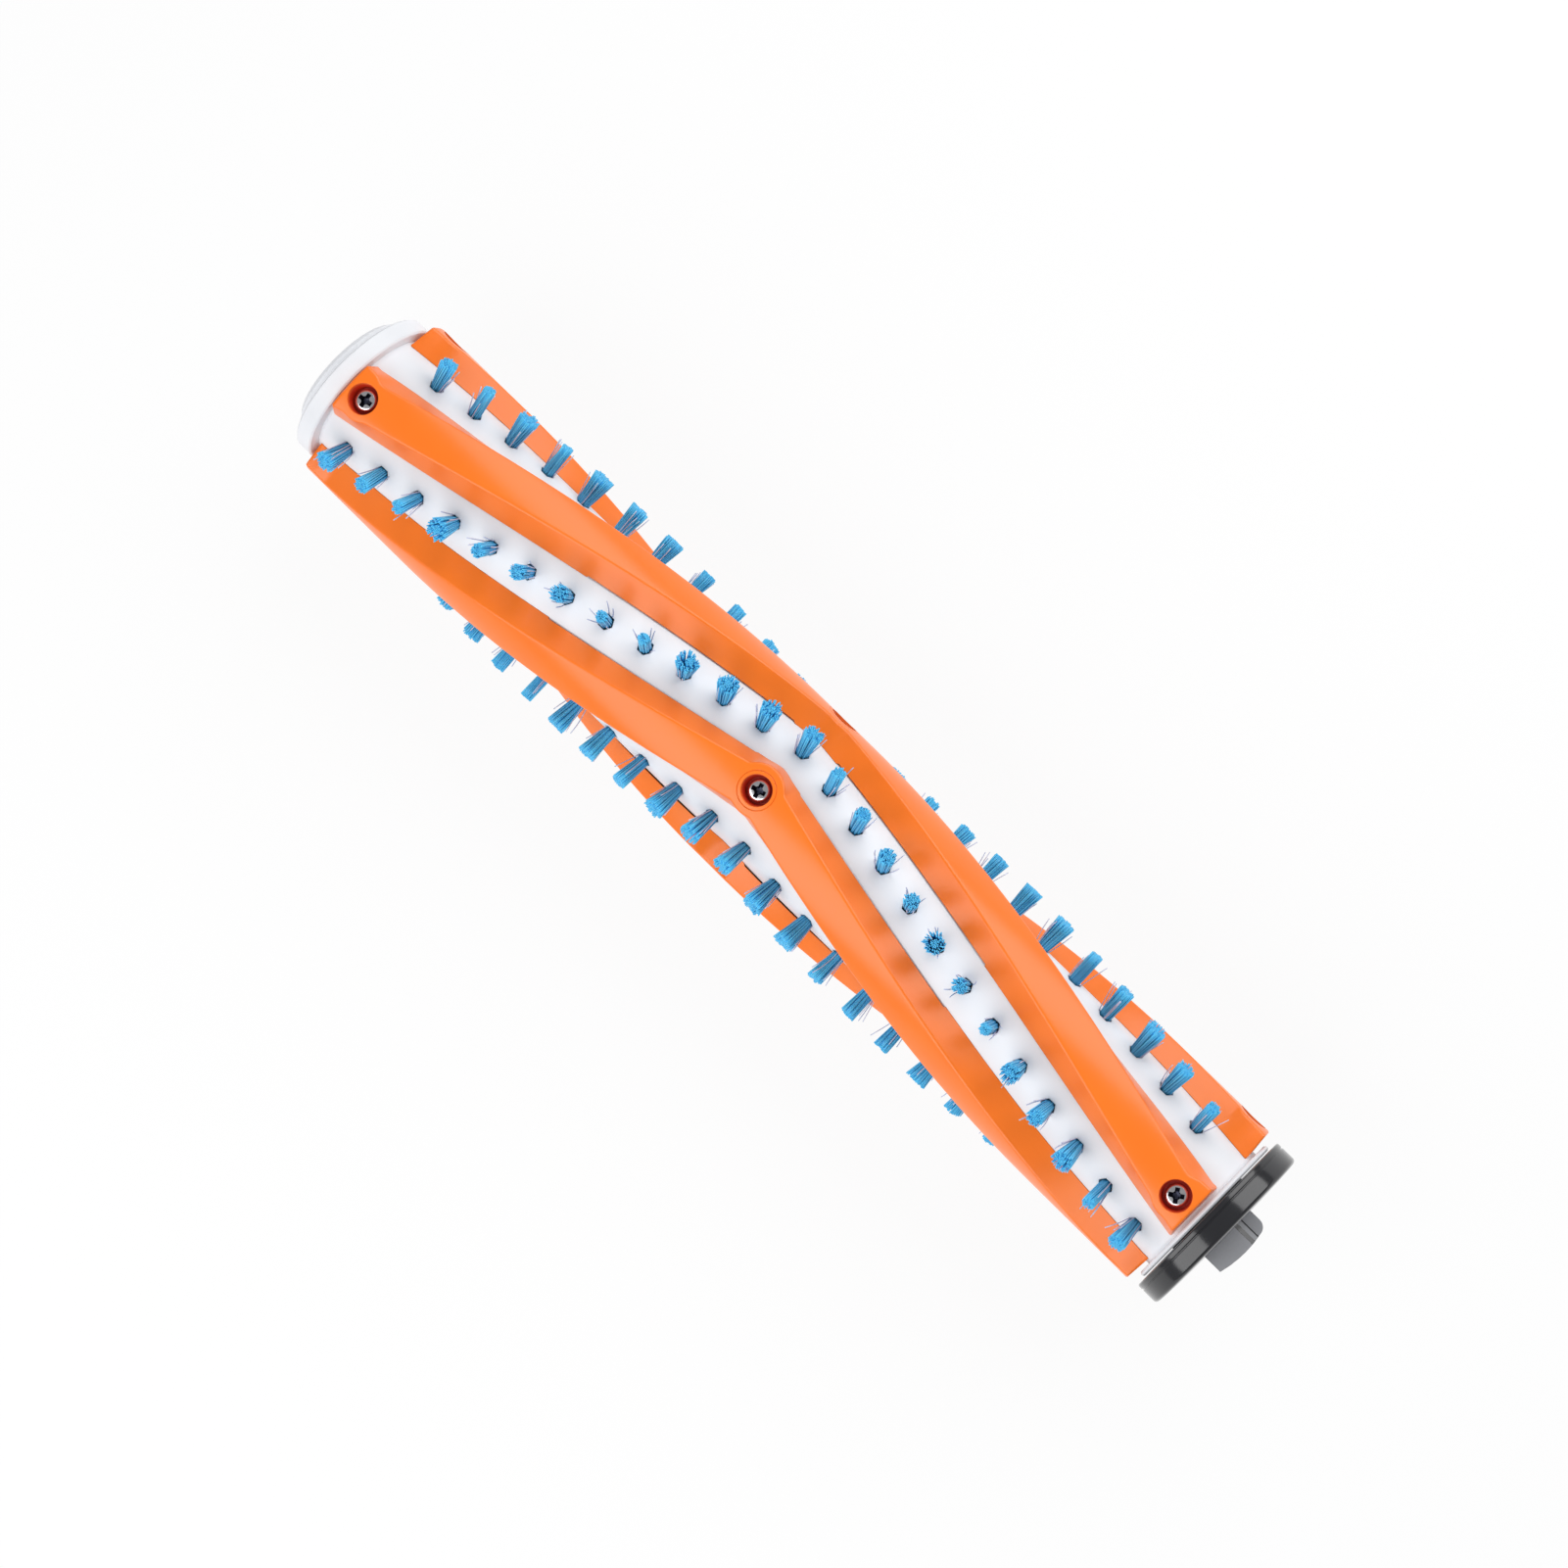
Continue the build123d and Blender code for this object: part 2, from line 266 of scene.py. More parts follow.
def ease(value, start, end):
    """Goes from 0 to 1 without a kink as a value goes from its start to its end."""
    share = min(1, max(0, (value - start) / (end - start)))
    return share * share * (3 - 2 * share)


def side_widths(offset, half_width, boss_radii, ear_width, radius):
    """How far a bar reaches to its two sides, boss and ears included, at an offset from its apex."""
    reach = abs(offset)
    ahead, behind = half_width, half_width
    for centre, boss_radius in zip((0, end_screw_offset), boss_radii):
        along = reach - centre
        if abs(along) < boss_radius:
            chord = sqrt(boss_radius**2 - along**2)
            shift = radians(twist_per_metre) * along * radius
            ahead = soft_max(ahead, chord + shift, boss_fillet)
            behind = soft_max(behind, chord - shift, boss_fillet)
    past_screw = reach - end_screw_offset
    squared = ear_width + radians(twist_per_metre) * past_screw * radius
    ahead += max(0, squared - ahead) * ease(past_screw, ear_start, ear_full)
    return ahead, behind


def on_circle(width, radius):
    """The point of a circle round the axis at a width to the side."""
    return Vector((width, sqrt(radius**2 - width**2)))


def bar_side(ridge_width, foot_width, relief):
    """Half a bar's outline, from its foot up the flank and round the ridge, as widths and heights."""
    foot = on_circle(foot_width, bar_underside)
    ridge = on_circle(ridge_width, bar_top_radius)
    foot = foot.lerp(ridge, relief / (bar_top_radius - bar_underside))
    low = ridge.lerp(foot, bar_ridge_rounding / (ridge - foot).length)
    high = on_circle(ridge_width - bar_ridge_rounding, bar_top_radius)
    bends = [place / bar_ridge_steps for place in range(bar_ridge_steps + 1)]
    rounding = [low.lerp(ridge, bend).lerp(ridge.lerp(high, bend), bend) for bend in bends]
    return [foot, foot.lerp(low, 0.5)] + rounding


def bar_outline(offset):
    """A bar's closed outline at an offset from its apex, as widths and heights."""
    reach = abs(offset)
    relief = bar_relief if boss_foot_radius < reach < bar_relief_reach else 0
    ahead, behind = side_widths(
        offset, bar_ridge_half_width, (boss_top_radius, end_boss_top_radius), ear_top_width, bar_top_radius
    )
    foot_ahead, foot_behind = side_widths(
        offset, bar_foot_half_width, (boss_foot_radius, end_boss_foot_radius), ear_foot_width, bar_underside
    )
    flare = foot_flare * ease(reach, foot_flare_start, end_screw_offset)
    foot_ahead = max(foot_ahead, bar_foot_half_width + flare)
    left = [Vector((-point.x, point.y)) for point in bar_side(behind, foot_behind, relief)]
    right = bar_side(ahead, foot_ahead, relief)[::-1]
    top_steps = 11
    top = []
    for step in range(1, top_steps):
        width = left[-1].x + (right[0].x - left[-1].x) * step / top_steps
        top.append(on_circle(width, bar_top_radius))
    under_steps = 6
    under = []
    for step in range(1, under_steps):
        width = right[-1].x + (left[0].x - right[-1].x) * step / under_steps
        under.append(on_circle(width, bar_underside + relief))
    return left + top + right + under


def bar_stations():
    """Offsets of a bar's outlines from the apex to an end: close together at the boss and the ear."""
    stations = []
    for start, step, count in bar_stretches:
        stations += [start + step * place for place in range(count)]
    return stations + [bar_half_length]


def bar_point(offset, apex_angle, point):
    """A point of a bar's outline in the model's frame. Near the ends the outlines lean."""
    reach = abs(offset)
    lean_start = bar_half_length - bar_lean_length
    if reach > lean_start:
        rise = (point.length - bar_underside) / (bar_top_radius - bar_underside)
        reach -= bar_end_lean * rise * (reach - lean_start) / bar_lean_length
    outward = outward_at(reach, apex_angle)
    sideways = outward.cross(Vector((1, 0, 0)))
    along = reach if offset > 0 else -reach
    return Vector((apex_x + along, 0, 0)) + outward * point.y + sideways * point.x


def new_mesh(name, vertices, faces):
    """A mesh made of points and faces, with its faces turned outwards."""
    mesh = bpy.data.meshes.new(name)
    mesh.from_pydata(vertices, [], faces)
    shape = bmesh.new()
    shape.from_mesh(mesh)
    bmesh.ops.recalc_face_normals(shape, faces=shape.faces)
    shape.to_mesh(mesh)
    shape.free()
    return mesh


def lathe(profile, sides):
    """Points and faces of a profile of radii and heights, from axis to axis, turned about the axis."""
    rim = profile[1:-1]
    count = len(rim)
    vertices = [Vector((0, 0, profile[0][1])), Vector((0, 0, profile[-1][1]))]
    faces = []
    for side in range(sides):
        turn = tau * side / sides
        vertices += [Vector((radius * cos(turn), radius * sin(turn), height)) for radius, height in rim]
        here = 2 + side * count
        beside = 2 + (side + 1) % sides * count
        faces.append((0, beside, here))
        faces.append((1, here + count - 1, beside + count - 1))
        for place in range(count - 1):
            faces.append((here + place, beside + place, beside + place + 1, here + place + 1))
    return vertices, faces


def carve(mesh, cutters):
    """Cuts other meshes out of a mesh, one after another."""
    block = bpy.data.objects.new("block", mesh)
    bpy.context.scene.collection.objects.link(block)
    tools = []
    for cutter in cutters:
        tool = bpy.data.objects.new("cutter", cutter)
        bpy.context.scene.collection.objects.link(tool)
        cut = block.modifiers.new("cut", "BOOLEAN")
        cut.operation = "DIFFERENCE"
        cut.solver = "EXACT"
        cut.object = tool
        tools.append(tool)
    depsgraph = bpy.context.evaluated_depsgraph_get()
    carved = bpy.data.meshes.new_from_object(block.evaluated_get(depsgraph))
    for done in [block] + tools:
        bpy.data.objects.remove(done)
    return carved


def new_piece(name, mesh, material, body, crease=40):
    """A smooth piece with sharp creases that rides on a body."""
    mesh.shade_smooth()
    mesh.set_sharp_from_angle(angle=radians(crease))
    mesh.materials.clear()
    mesh.materials.append(material)
    piece = bpy.data.objects.new(name, mesh)
    bpy.context.scene.collection.objects.link(piece)
    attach(piece, body)
    return piece


def mark_faces(piece, material, test):
    """Gives the faces of a piece that pass a test a material of their own."""
    piece.data.materials.append(material)
    for face in piece.data.polygons:
        if test(face):
            face.material_index = len(piece.data.materials) - 1


def wound_frame(offset, apex_angle, height, turn=0.0):
    """Placement on a chevron: Z outwards, X along the axis, turned about Z."""
    outward = outward_at(offset, apex_angle)
    lengthways = Vector((1, 0, 0))
    axes = Matrix((lengthways, outward.cross(lengthways), outward)).transposed().to_4x4()
    place = Vector((apex_x + offset, 0, 0)) + outward * height
    return Matrix.Translation(place) @ axes @ Matrix.Rotation(turn, 4, "Z")


def well_cutter(offset, apex_angle):
    """The tapered well round a screw."""
    profile = [
        (0, well_floor_height), (well_floor_radius, well_floor_height),
        (well_mouth_radius, well_mouth_height), (0, well_mouth_height),
    ]
    vertices, faces = lathe(profile, well_sides)
    frame_at = wound_frame(offset, apex_angle, 0)
    return new_mesh("well", [frame_at @ vertex for vertex in vertices], faces)


def ring_cutter(apex_angle):
    """The fine groove round the well at the apex, at an even depth in the curved top of the bar."""
    vertices = []
    for side in range(well_ring_sides):
        turn = tau * side / well_ring_sides
        for radius, height in (
            (well_ring_radius - well_ring_width / 2, well_ring_depth),
            (well_ring_radius + well_ring_width / 2, well_ring_depth),
            (well_ring_radius, -well_ring_depth),
        ):
            width = radius * sin(turn)
            vertices.append(Vector((radius * cos(turn), width, on_circle(width, bar_top_radius).y + height)))
    faces = []
    for side in range(well_ring_sides):
        beside = (side + 1) % well_ring_sides
        for place in range(3):
            after = (place + 1) % 3
            faces.append((side * 3 + place, beside * 3 + place, beside * 3 + after, side * 3 + after))
    frame_at = wound_frame(0, apex_angle, 0)
    return new_mesh("ring", [frame_at @ vertex for vertex in vertices], faces)


def chevron_bar(apex_angle):
    """One bar: its outlines joined from end to end, and its wells cut out."""
    half = bar_stations()
    offsets = [-offset for offset in half[:0:-1]] + half
    vertices, faces = [], []
    for offset in offsets:
        outline = bar_outline(offset)
        if abs(offset) == bar_half_length:
            middle = Vector((0, (bar_top_radius + bar_underside) / 2))
            outline = [point - (point - middle).normalized() * bar_end_rounding for point in outline]
        vertices += [bar_point(offset, apex_angle, point) for point in outline]
    count = len(outline)
    for station in range(len(offsets) - 1):
        low = station * count
        for place in range(count):
            after = (place + 1) % count
            faces.append((low + place, low + after, low + count + after, low + count + place))
    faces.append(tuple(range(count)))
    faces.append(tuple(range(len(vertices) - 1, len(vertices) - 1 - count, -1)))
    wells = [well_cutter(offset, apex_angle) for offset in screw_offsets]
    return carve(new_mesh("bar", vertices, faces), wells + [ring_cutter(apex_angle)])


def well_test(apex_angle):
    """Tells whether a face of a bar is on the wall or the floor of one of its wells."""
    places = [wound_frame(offset, apex_angle, 0).inverted() for offset in screw_offsets]

    def in_well(face):
        for place in places:
            spot = place @ face.center
            if spot.xy.length < well_mouth_radius and well_lowest < spot.z < well_highest:
                return True
        return False

    return in_well


def axis_distance(paint):
    """Distance of a point of the surface from the roller's axis."""
    spot = paint.node("ShaderNodeTexCoord", out="Object")
    across = paint.node("ShaderNodeVectorMath", {"operation": "MULTIPLY"}, {0: spot, 1: (0, 1, 1)})
    return paint.node("ShaderNodeVectorMath", {"operation": "LENGTH"}, {0: across}, out="Value")


def well_plastic_painted_shade():
    """The rough walls of a well, with painted shade that turns them a deeper red towards its floor."""
    material, paint = new_finish("orange_well_painted_shade")
    skin = grain(paint, 2200.0, 2.0)
    rise = (axis_distance(paint) - well_painted_shade_height) / (bar_top_radius - well_painted_shade_height)
    shader = paint.node("ShaderNodeBsdfPrincipled", {}, {
        "Base Color": paint.node("ShaderNodeClamp", {}, {"Value": rise}).blend(
            (0.58, 0.028, 0.007, 1), (0.93, 0.17, 0.009, 1)
        ),
        "Roughness": 0.4 + 0.1 * skin,
        "IOR": 1.5,
    })
    paint.node("ShaderNodeOutputMaterial", {}, {"Surface": shader})
    return material


def orange_plastic():
    """Semi-gloss orange ABS with a fine skin and soft edges."""
    material, paint = new_finish("orange_bar")
    clouds = grain(paint, 70.0)
    skin = grain(paint, 2200.0, 2.0)
    shader = paint.node("ShaderNodeBsdfPrincipled", {}, {
        "Base Color": clouds.blend((0.91, 0.17, 0.008, 1), (0.96, 0.195, 0.010, 1)),
        "Roughness": 0.24 + 0.08 * clouds + 0.05 * skin,
        "Normal": moulded_normal(paint, 0.0002, skin, 0.05),
        "IOR": 1.5,
    })
    paint.node("ShaderNodeOutputMaterial", {}, {"Surface": shader})
    return material


orange = orange_plastic()
well_orange_painted_shade = well_plastic_painted_shade()
for number in range(bar_count):
    apex_angle = roller_phase + number * 360 / bar_count
    bar = new_piece(f"bar_{number + 1}", chevron_bar(apex_angle), orange, "roller")
    # The faces of the wells take the finish with the painted shade.
    mark_faces(bar, well_orange_painted_shade, well_test(apex_angle))
    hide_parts(f"chevron_bar_{number + 1}")


# Bar screws
# Twelve plated pan head screws with a cross recess hold the bars. Each head seats on the floor of
# its well, and the shank cuts its own thread in a pilot hole of the core.
screw_sides = 40
screw_seed = 7
screw_shape = [
    (0, -0.0074), (0.0010, -0.0072), (0.00142, -0.0060), (0.00142, 0), (0.00245, 0), (0.0025, 0.0001),
    (0.0025, 0.0009), (0.00246, 0.0013), (0.00234, 0.0016), (0.00215, 0.00176), (0.0018, 0.00183),
    (0.0012, 0.00187), (0.0006, 0.00189), (0, 0.0019),
]
recess_top = 0.0022
recess_floor = 0.0004
recess_half_lengths = (0.0008, 0.0019)
recess_half_widths = (0.00032, 0.00055)
recess_point = 0.0002
recess_heart_radii = (0.0005, 0.00105)
recess_sides = 32
recess_reach = 0.0021
recess_depth = 0.0009
recess_slope = 0.72


def recess_wing(turn):
    """One of the two crossed wedges of the recess."""
    vertices = []
    for length, width, height in zip(recess_half_lengths, recess_half_widths, (recess_floor, recess_top)):
        for x, y in ((-length, -width), (length, -width), (length, width), (-length, width)):
            vertices.append(Matrix.Rotation(turn, 3, "Z") @ Vector((x, y, height)))
    faces = [(3, 2, 1, 0), (4, 5, 6, 7), (0, 1, 5, 4), (1, 2, 6, 5), (2, 3, 7, 6), (3, 0, 4, 7)]
    return new_mesh("wing", vertices, faces)


def recess_heart():
    """The cone in the middle of the recess."""
    low, high = recess_heart_radii
    profile = [(0, recess_point), (low, recess_floor), (high, recess_top), (0, recess_top)]
    return new_mesh("heart", *lathe(profile, recess_sides))


screw_head = carve(
    new_mesh("screw", *lathe(screw_shape, screw_sides)), [recess_wing(0), recess_wing(pi / 2), recess_heart()]
)
chance = random.Random(screw_seed)
vertices, faces, in_recess = [], [], []
for number in range(bar_count):
    for offset in screw_offsets:
        apex_angle = roller_phase + number * 360 / bar_count
        place = wound_frame(offset, apex_angle, well_floor_height, chance.uniform(0, pi / 2))
        first = len(vertices)
        vertices += [place @ vertex.co for vertex in screw_head.vertices]
        for face in screw_head.polygons:
            faces.append(tuple(first + corner for corner in face.vertices))
            low = face.center.z < recess_depth or face.normal.z < recess_slope
            in_recess.append(low and face.center.z > 0 and face.center.xy.length < recess_reach)
chrome = metal("plated_screw", (0.66, 0.66, 0.69, 1), (0.82, 0.82, 0.85, 1), 0.16)
screws = new_piece("screws", new_mesh("screws", vertices, faces), chrome, "roller", 30)
# The faces inside the cross recess are painted near black: painted shade in the recess.
recess_painted_shade = metal("screw_recess_painted_shade", (0.03, 0.032, 0.05, 1), (0.09, 0.095, 0.14, 1), 0.4)
mark_faces(screws, recess_painted_shade, lambda face: in_recess[face.index])
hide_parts("bar_screws")


# Bristle tufts
# Each tuft is a bundle of crimped blue nylon filaments, folded once and stapled into its socket. The
# rows run midway between the bars in the same chevron. A few thin pale filaments stand out of each.
core_radius = 0.0162
tuft_pitch = 0.010
tuft_gaps = 24
tuft_height = 0.0078
tuft_mouth_radius = 0.0015
tuft_tip_radius = 0.0025
tuft_sink = 0.0015
tuft_lean = 0.00012
tuft_seed = 41
clump_count = 11
clump_start = 0.5
clump_share = 0.25
clump_cut = 0.0002
clump_pull = 0.00018
filament_count = 110
filament_radius = 0.00017
filament_rings = 5
filament_sides = 4
filament_wobble = 0.1
filament_cut = 0.0001
filament_draw = 0.0002
filament_bulge = 0.0001
filament_bow = 0.0002
golden_angle = pi * (3 - sqrt(5))
stray_count = 5
stray_radius = 0.00013
stray_root = 0.95
stray_lengths = (0.65, 0.95)
stray_spreads = (0.1, 0.36)
stray_bow = 0.0006


def tuft_offsets(number):
    """Places of a row's tufts along the axis. Every second row is set half a pitch over."""
    gaps = tuft_gaps - number % 2
    return [(place - gaps / 2) * tuft_pitch for place in range(gaps + 1)]


def add_filament(vertices, faces, root, tip, bow, radius):
    """Adds one filament: a thin bowed rod from its root to its cut tip."""
    along = (tip - root).normalized()
    across = along.orthogonal().normalized()
    aside = along.cross(across)
    first = len(vertices)
    for ring in range(filament_rings):
        share = ring / (filament_rings - 1)
        centre = root.lerp(tip, share) + bow * (share - share * share)
        for side in range(filament_sides):
            turn = tau * side / filament_sides
            vertices.append(centre + (across * cos(turn) + aside * sin(turn)) * radius)
    for ring in range(filament_rings - 1):
        low = first + ring * filament_sides
        for side in range(filament_sides):
            beside = (side + 1) % filament_sides
            high = low + filament_sides
            faces.append((low + side, low + beside, high + beside, high + side))
    faces.append(tuple(range(first + filament_sides - 1, first - 1, -1)))
    last = len(vertices) - filament_sides
    faces.append(tuple(range(last, last + filament_sides)))


def nylon(name, shaded_foot_colour, lit_tip_colour, roughness):
    """Nylon filaments: each a little different, with painted shade deep in the bundle's foot and painted
    light at its tip.
    """
    material, paint = new_finish(name)
    rise = (axis_distance(paint) - core_radius) / tuft_height
    chance = paint.node("ShaderNodeNewGeometry", out="Random Per Island")
    # Darker towards the foot and paler towards the tip is painted shade and light; the difference from
    # filament to filament is the nylon's own.
    shade_and_tone = paint.node("ShaderNodeClamp", {}, {"Value": 0.15 + 0.7 * rise + 0.8 * (chance - 0.5)})
    shader = paint.node("ShaderNodeBsdfPrincipled", {}, {
        "Base Color": shade_and_tone.blend(shaded_foot_colour, lit_tip_colour),
        "Roughness": roughness + 0.16 * chance,
        "Specular IOR Level": 0.5,
    })
    paint.node("ShaderNodeOutputMaterial", {}, {"Surface": shader})
    return material


blue = nylon("blue_bristle", (0.055, 0.37, 0.72, 1), (0.105, 0.60, 0.95, 1), 0.3)
pale = nylon("pale_bristle", (0.42, 0.48, 0.68, 1), (0.6, 0.64, 0.82, 1), 0.3)
for number in range(bar_count):
    chance = random.Random(tuft_seed + number)
    row_angle = roller_phase + (number + 0.5) * 360 / bar_count
    vertices, faces = [], []
    stray_vertices, stray_faces = [], []
    for offset in tuft_offsets(number):
        outward = outward_at(offset, row_angle)
        lengthways = Vector((1, 0, 0))
        sideways = outward.cross(lengthways)
        mouth = Vector((apex_x + offset, 0, 0)) + outward * core_radius
        lean = lengthways * chance.gauss(0, tuft_lean) + sideways * chance.gauss(0, tuft_lean)
        turned = chance.uniform(0, tau)
        clump_cuts = [abs(chance.gauss(0, clump_cut)) for clump in range(clump_count)]
        clump_pulls = [chance.gauss(0, clump_pull) for clump in range(clump_count)]
        for strand in range(filament_count):
            spread = sqrt((strand + 0.5) / filament_count)
            turn = turned + strand * golden_angle + chance.gauss(0, filament_wobble)
            outer = spread > clump_start
            clump = int(turn % tau / tau * clump_count) if outer else 0
            gathered = turned + (clump + 0.5) * tau / clump_count
            side = lengthways * cos(turn) + sideways * sin(turn)
            drawn = lengthways * cos(gathered) + sideways * sin(gathered)
            foot = mouth + side * spread * tuft_mouth_radius
            flare = (side * (1 - clump_share) + drawn * clump_share * outer) * spread * tuft_tip_radius
            length = tuft_height - abs(chance.gauss(0, filament_cut)) - clump_cuts[clump]
            tip = mouth + outward * length + flare + lean + drawn * clump_pulls[clump]
            trim = (core_radius + length) / tip.yz.length
            tip = Vector((tip.x, tip.y * trim, tip.z * trim))
            root = foot - outward * tuft_sink - side * filament_draw
            bow = side * chance.gauss(filament_bulge, filament_bow) + sideways * chance.gauss(0, filament_bow)
            add_filament(vertices, faces, root, tip, bow, filament_radius)
        for strand in range(stray_count):
            turn = chance.uniform(0, tau)
            side = lengthways * cos(turn) + sideways * sin(turn)
            root = mouth + side * tuft_mouth_radius * stray_root - outward * tuft_sink
            length = tuft_height * chance.uniform(*stray_lengths)
            spread = tuft_mouth_radius + length * chance.uniform(*stray_spreads)
            tip = mouth + outward * length + side * spread
            bow = sideways * chance.gauss(0, stray_bow) + lengthways * chance.gauss(0, stray_bow)
            add_filament(stray_vertices, stray_faces, root, tip, bow, stray_radius)
    bundle = new_mesh("bristles", vertices, faces)
    bundle = new_piece(f"bristles_{number + 1}", bundle, blue, "roller", 120)
    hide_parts(f"tuft_row_{number + 1}")
    strays = new_mesh("strays", stray_vertices, stray_faces)
    new_piece(f"stray_bristles_{number + 1}", strays, pale, "roller", 120)


# End cap
# The cap is a black ABS moulding, polished on its rim, with a lip that a fine groove sets off. It is
# one piece with its key, a stepped satin block that slides into the cleaner head.
cap_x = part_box("end_cap")[0].x
cap_sides = 160
# The cap's outline as places along the axis and radii: its hollow, its lip and groove, its rim and its face.
cap_shape = [
    (0.0051, 0), (0.0051, 0.0043), (0.0035, 0.0043), (0.0035, 0.00502), (0.0012, 0.00502), (0.0012, 0.0104),
    (0, 0.0104), (0, 0.0207), (0.0001, 0.02095), (0.0003, 0.0211), (0.0011, 0.0211), (0.0012, 0.02106),
    (0.0013, 0.02092), (0.0015, 0.02092), (0.0016, 0.02106), (0.0017, 0.0211), (0.0046, 0.0211),
    (0.0049, 0.02105), (0.0052, 0.02085), (0.00538, 0.0206), (0.0055, 0.0202), (0.00562, 0.019),
    (0.00578, 0.016), (0.0059, 0.012), (0.006, 0.0075), (0.006, 0),
]
key_root = 0.0054
key_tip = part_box("end_cap")[1].x - cap_x
key_half_width = 0.00685
key_half_thickness = 0.004
key_crown = 0.0009
key_corner_round = 0.0022
key_corner_steps = 8
key_crown_places = (-key_half_width, -0.0045, -0.002, 0)
key_drops = [(0.0020, 0), (0.0022, 0.0001), (0.0030, 0.0008), (0.0039, 0.0011), (0.0042, 0.0015)]
key_edge_round = 0.00025
key_edge_angle = 40
key_painted_shade_slope = 0.9


def gloss_black():
    """Polished black ABS under a clear hard skin."""
    material, paint = new_finish("black_cap")
    clouds = grain(paint, 120.0)
    skin = grain(paint, 3000.0, 2.0)
    shader = paint.node("ShaderNodeBsdfPrincipled", {}, {
        "Base Color": clouds.blend((0.009, 0.0095, 0.012, 1), (0.015, 0.0155, 0.019, 1)),
        "Roughness": 0.1 + 0.06 * clouds + 0.04 * skin,
        "Normal": moulded_normal(paint, 0.0002, skin, 0.03),
        "IOR": 1.5,
        "Coat Weight": 0.25,
        "Coat Roughness": 0.08,
    })
    paint.node("ShaderNodeOutputMaterial", {}, {"Surface": shader})
    return material


def sparked_black():
    """Black ABS with a sparked satin skin; its grey base colour is painted sheen, the light that skin
    scatters.
    """
    material, paint = new_finish("satin_key")
    clouds = grain(paint, 300.0)
    skin = grain(paint, 5200.0, 3.0)
    shader = paint.node("ShaderNodeBsdfPrincipled", {}, {
        "Base Color": skin.blend((0.26, 0.265, 0.285, 1), (0.34, 0.347, 0.372, 1)),
        "Roughness": 0.42 + 0.12 * clouds,
        "Normal": moulded_normal(paint, 0.0002, skin, 0.25, 0.00005),
        "IOR": 1.5,
    })
    paint.node("ShaderNodeOutputMaterial", {}, {"Surface": shader})
    return material


def key_stations():
    """The key's sections across its width: place across, reach to the tip and half thickness."""
    bulge = (key_half_width**2 + key_crown**2) / (2 * key_crown)

    def crown_at(y):
        return key_tip - bulge + sqrt(bulge**2 - y**2)

    stations = [(y, crown_at(y), key_half_thickness) for y in key_crown_places]
    stations += [(y, crown_at(y), key_half_thickness - drop) for y, drop in key_drops]
    corner_y = key_half_width - key_corner_round
    corner_x = crown_at(corner_y) - key_corner_round
    for step in range(key_corner_steps + 1):
        turn = radians(90 * step / key_corner_steps)
        reach = corner_x + key_corner_round * cos(turn)
        stations.append((corner_y + key_corner_round * sin(turn), reach, stations[-1][2]))
    return stations


def cap_key():
    """The key: its sections joined across its width, with all edges rounded."""
    vertices, faces = [], []
    for y, reach, height in key_stations():
        first = len(vertices)
        for x, z in ((key_root, -height), (reach, -height), (reach, height), (key_root, height)):
            vertices.append(Vector((cap_x + x, y, z)))
        if first:
            for place in range(4):
                after = (place + 1) % 4
                faces.append((first - 4 + place, first - 4 + after, first + after, first + place))
    faces += [(0, 1, 2, 3), (first + 3, first + 2, first + 1, first)]
    block = bpy.data.objects.new("block", new_mesh("key", vertices, faces))
    bpy.context.scene.collection.objects.link(block)
    rounding = block.modifiers.new("rounding", "BEVEL")
    rounding.width = key_edge_round
    rounding.segments = 3
    rounding.limit_method = "ANGLE"
    rounding.angle_limit = radians(key_edge_angle)
    rounded = bpy.data.meshes.new_from_object(block.evaluated_get(bpy.context.evaluated_depsgraph_get()))
    bpy.data.objects.remove(block)
    return rounded


vertices, faces = lathe([(radius, along) for along, radius in cap_shape], cap_sides)
vertices = [Vector((cap_x + vertex.z, vertex.x, vertex.y)) for vertex in vertices]
black = gloss_black()
cap = new_piece("cap", new_mesh("cap", vertices, faces), black, "end_cap", 30)
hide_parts("end_cap")
key = new_piece("key", cap_key(), sparked_black(), "end_cap", 30)
# The key's rounded edges and the slopes of its step take the cap's gloss black: painted shade that draws them
# as dark lines.
mark_faces(key, black, lambda face: max(abs(part) for part in face.normal) < key_painted_shade_slope)


# Floor, light and camera
# The roller is seen from above. It floats a little over a plain white floor, so that its shadow stays
# faint, and two large soft lamps stand to its sides.
scene = bpy.context.scene
scene.view_settings.view_transform = "Standard"

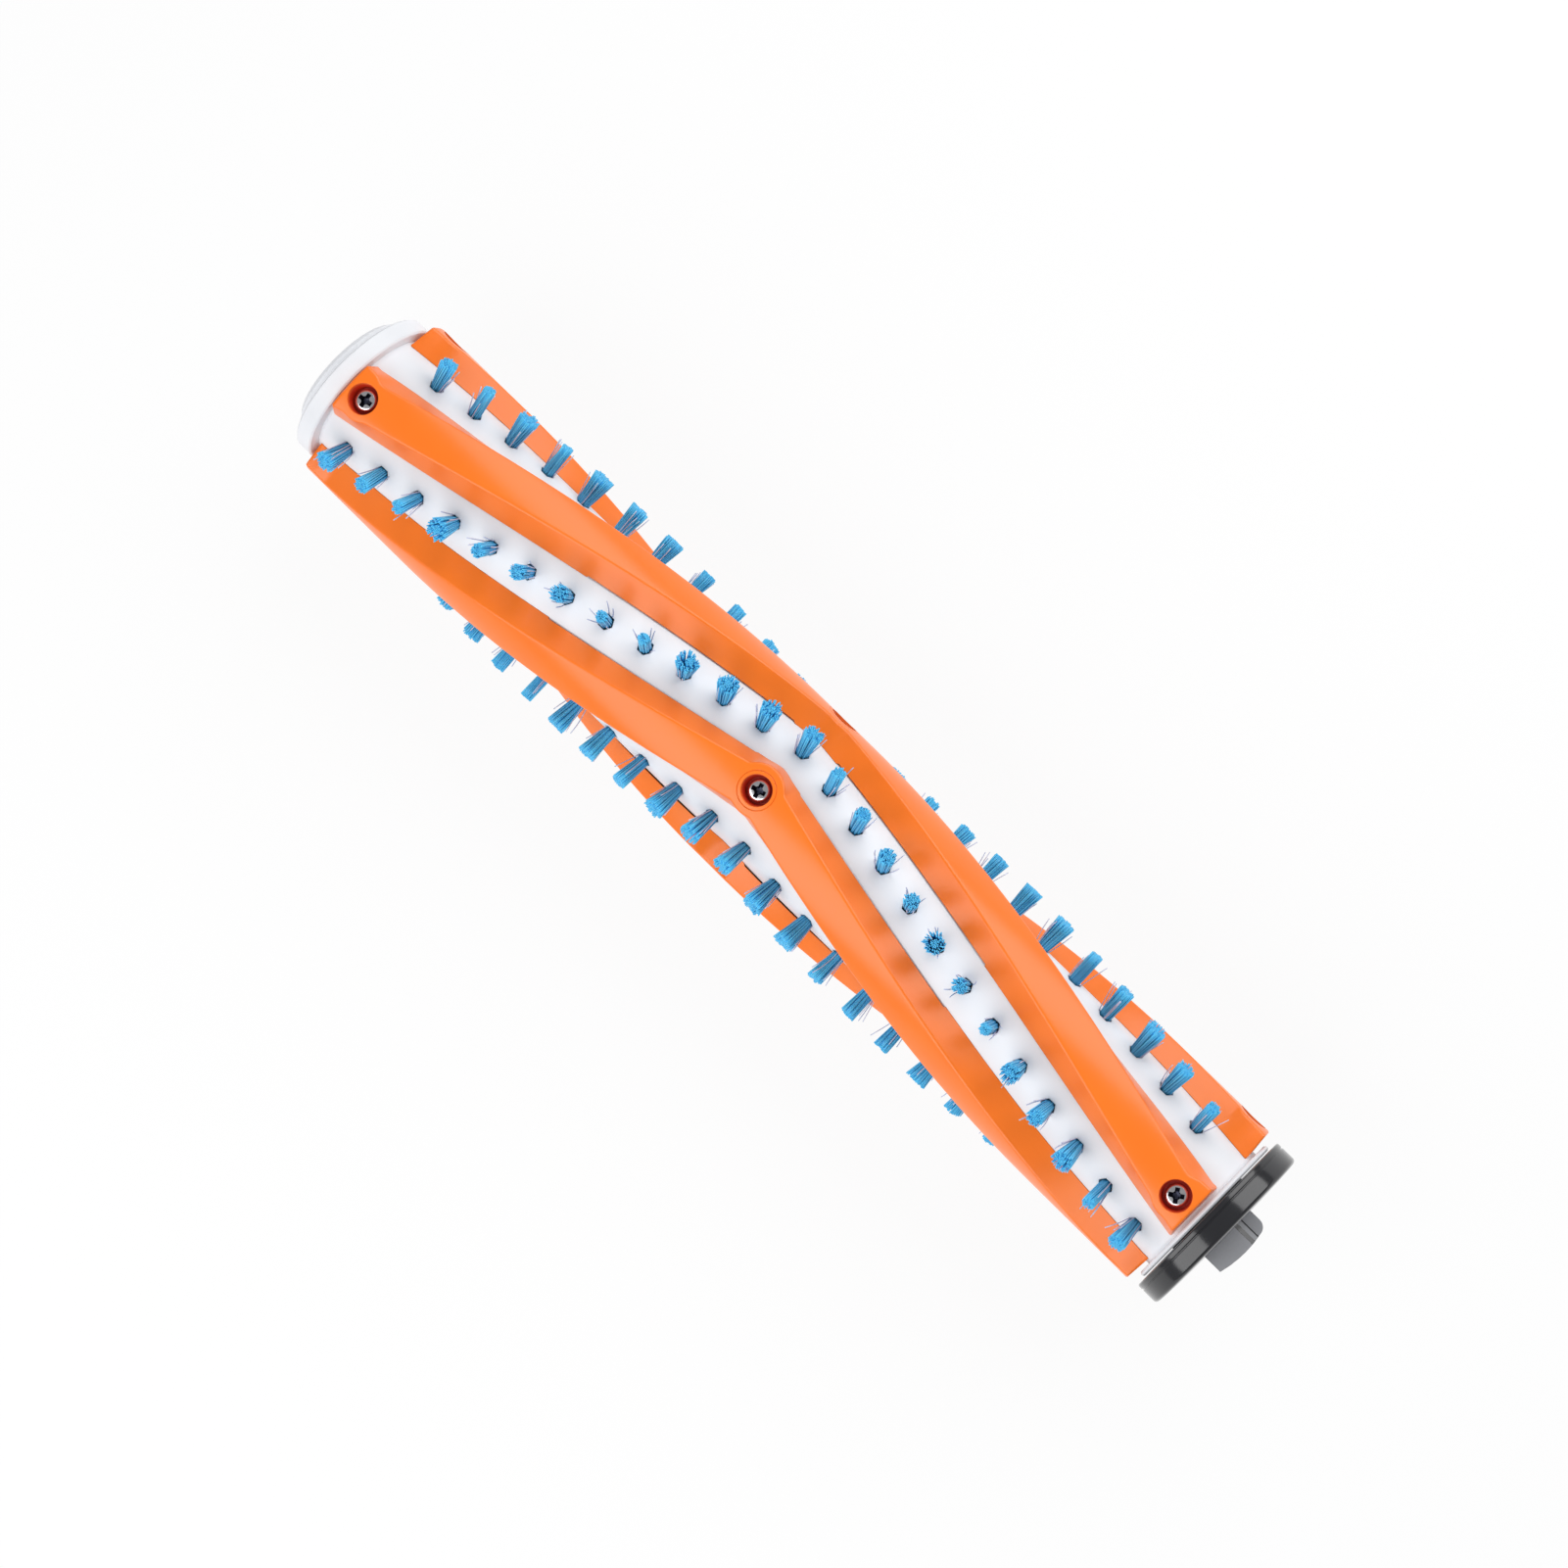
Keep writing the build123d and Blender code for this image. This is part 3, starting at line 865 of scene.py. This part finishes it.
floor_drop = 0.006
floor_half = 3.0
floor_white_share = 0.9
floor_z = cad_box[0].z - floor_drop
floor_mesh = bpy.data.meshes.new("floor")
corners = [(-1, -1), (1, -1), (1, 1), (-1, 1)]
floor_mesh.from_pydata([(x * floor_half, y * floor_half, floor_z) for x, y in corners], [], [(0, 1, 2, 3)])
floor_finish, floor_paint = new_finish("floor")
seen = floor_paint.node("ShaderNodeLightPath", out="Is Camera Ray")
mirrored = floor_paint.node("ShaderNodeLightPath", out="Is Glossy Ray")
passed = floor_paint.node("ShaderNodeLightPath", out="Is Transmission Ray")
matt = floor_paint.node("ShaderNodeBsdfDiffuse", {}, {"Color": (0.82, 0.82, 0.83, 1)})
plain_white = floor_paint.node("ShaderNodeEmission", {}, {"Color": (1, 1, 1, 1), "Strength": 1.0})
whitened = floor_white_share * (seen + mirrored + passed)
floor_shader = floor_paint.node("ShaderNodeMixShader", {}, {"Fac": whitened, 1: matt, 2: plain_white})
floor_paint.node("ShaderNodeOutputMaterial", {}, {"Surface": floor_shader})
floor_mesh.materials.append(floor_finish)
floor = bpy.data.objects.new("floor", floor_mesh)
scene.collection.objects.link(floor)

world_strength = 0.34
world = bpy.data.worlds.new("studio")
world.use_nodes = True
world.node_tree.nodes["Background"].inputs["Color"].default_value = (1, 1, 1, 1)
world.node_tree.nodes["Background"].inputs["Strength"].default_value = world_strength
scene.world = world


def soft_lamp(name, place, aim, width, height, power):
    """A soft box that faces a point."""
    light = bpy.data.lights.new(name, "AREA")
    light.shape = "RECTANGLE"
    light.size = width
    light.size_y = height
    light.energy = power
    lamp = bpy.data.objects.new(name, light)
    lamp.location = place
    lamp.rotation_euler = (Vector(aim) - Vector(place)).to_track_quat("-Z", "Y").to_euler()
    scene.collection.objects.link(lamp)


lamp_reach = 0.62
lamp_power = 3.4
lamp_width = 0.75
lamp_height = 0.52
lamp_angles = (("left_lamp", -48), ("right_lamp", 54))
for name, angle in lamp_angles:
    place = (apex_x, lamp_reach * sin(radians(angle)), lamp_reach * cos(radians(angle)))
    soft_lamp(name, place, (apex_x, 0, 0), lamp_width, lamp_height, lamp_power)

camera_place = Vector((0.26126, 0, 0.78884))
camera_right = Vector((0.7057, 0.6998, -0.1108))
camera_up = Vector((-0.6907, 0.7143, 0.1126))
camera_lens = 84.39
camera_sensor = 36.0
camera_back = camera_right.cross(camera_up)
eye = bpy.data.cameras.new("camera")
eye.lens = camera_lens
eye.sensor_width = camera_sensor
camera = bpy.data.objects.new("camera", eye)
turn = Matrix((camera_right, camera_up, camera_back)).transposed()
camera.matrix_world = Matrix.Translation(camera_place) @ turn.to_4x4()
scene.collection.objects.link(camera)
scene.camera = camera
